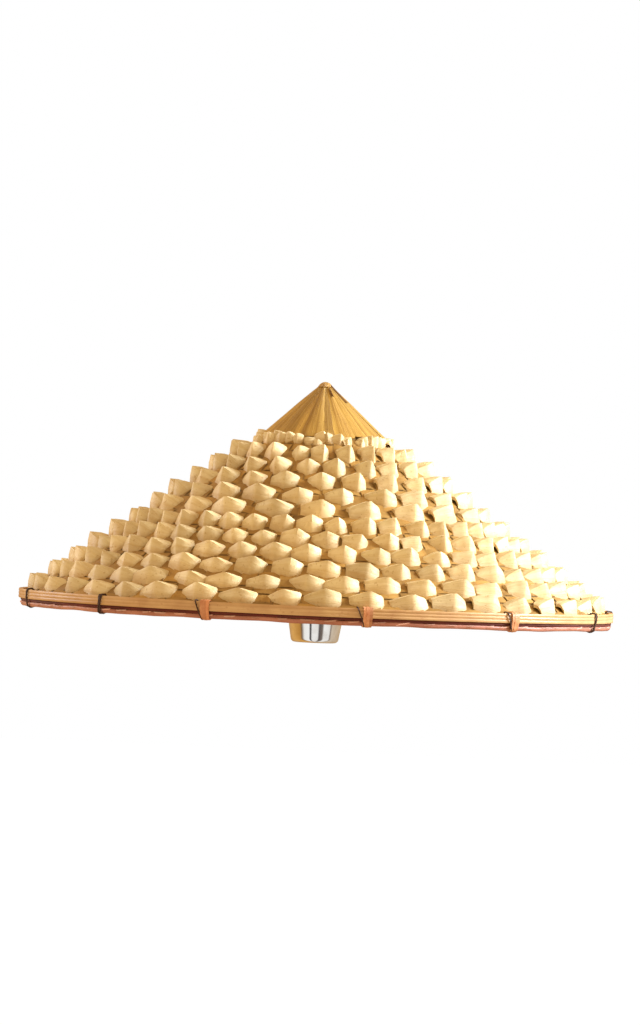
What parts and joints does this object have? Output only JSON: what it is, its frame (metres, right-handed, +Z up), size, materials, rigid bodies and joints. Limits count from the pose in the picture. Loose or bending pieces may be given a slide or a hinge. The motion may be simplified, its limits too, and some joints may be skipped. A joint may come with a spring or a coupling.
{
  "type": "lamp shade",
  "caption": "Conical lamp shade of woven, curled bamboo splints with a leaf-capped tip, cane-bound rim and polished metal carrier cup.",
  "frame": {"origin": "centre of the carrier cup's flat base, where the shade stands on the lamp's stem", "axes": "+Z up along the shade's axis towards the tip; -Y towards the viewer"},
  "size_m": [0.4804, 0.48, 0.2105],
  "materials": {
    "curled_splint": "dry, faintly glossy palm and bamboo splint, curled",
    "woven_splint": "woven splint",
    "gold_leaf": "golden fibrous leaf, satin",
    "dry_leaf": "matte dried leaf",
    "bamboo_band": "split bamboo, satin",
    "frame_splint": "split bamboo, matte",
    "red_cane": "red-brown cane, satin",
    "dark_thread": "waxed dark thread",
    "polished_metal": "polished",
    "zinc_steel": "zinc plated, satin",
    "brass": "satin"
  },
  "bodies": {
    "carrier": {"carrier_cup": "polished_metal", "stem_washer": "zinc_steel", "stem_nut": "brass"},
    "turn_washer": {"slip_washer": "brass"},
    "shade": {"hub_ring": "zinc_steel", "arm_1": "zinc_steel", "arm_2": "zinc_steel", "arm_3": "zinc_steel", "arm_tack_1": "brass", "arm_tack_2": "brass", "arm_tack_3": "brass", "rim_outer_band": "bamboo_band", "rim_inner_band": "bamboo_band", "rim_lower_cane": "red_cane", "rim_tie_01": "red_cane", "rim_tie_02": "dark_thread", "rim_tie_03": "red_cane", "rim_tie_04": "red_cane", "rim_tie_05": "dark_thread", "rim_tie_06": "red_cane", "rim_tie_07": "dark_thread", "rim_tie_08": "dark_thread", "rim_tie_09": "red_cane", "rim_tie_10": "red_cane", "rim_tie_11": "red_cane", "rim_tie_12": "dark_thread", "base_weave": "woven_splint", "leaf_lining": "dry_leaf", "tip_cap": "gold_leaf", "curl_row_01": "curled_splint", "curl_row_02": "curled_splint", "curl_row_03": "curled_splint", "curl_row_04": "curled_splint", "curl_row_05": "curled_splint", "curl_row_06": "curled_splint", "curl_row_07": "curled_splint", "curl_row_08": "curled_splint", "curl_row_09": "curled_splint", "curl_row_10": "curled_splint", "curl_row_11": "curled_splint", "rib_01": "frame_splint", "rib_02": "frame_splint", "rib_03": "frame_splint", "rib_04": "frame_splint", "rib_05": "frame_splint", "rib_06": "frame_splint", "rib_07": "frame_splint", "rib_08": "frame_splint", "rib_09": "frame_splint", "rib_10": "frame_splint", "rib_11": "frame_splint", "rib_12": "frame_splint", "hoop_1": "frame_splint", "hoop_2": "frame_splint", "hoop_3": "frame_splint", "hoop_4": "frame_splint"},
    "shade_ring": {"retaining_ring": "polished_metal"}
  },
  "joints": [
    {"name": "shade_turn", "type": "hinge", "parent": "carrier", "child": "turn_washer", "pos_m": [0, 0, 0.016], "axis": [0, 0, 1], "continuous": true},
    {"name": "shade_lift", "type": "slide", "parent": "turn_washer", "child": "shade", "axis": [0, 0, 1], "range_m": [0, 0.1]},
    {"name": "ring_turn", "type": "hinge", "parent": "shade", "child": "shade_ring", "pos_m": [0, 0, 0.0204], "axis": [0, 0, 1], "continuous": true}
  ]
}
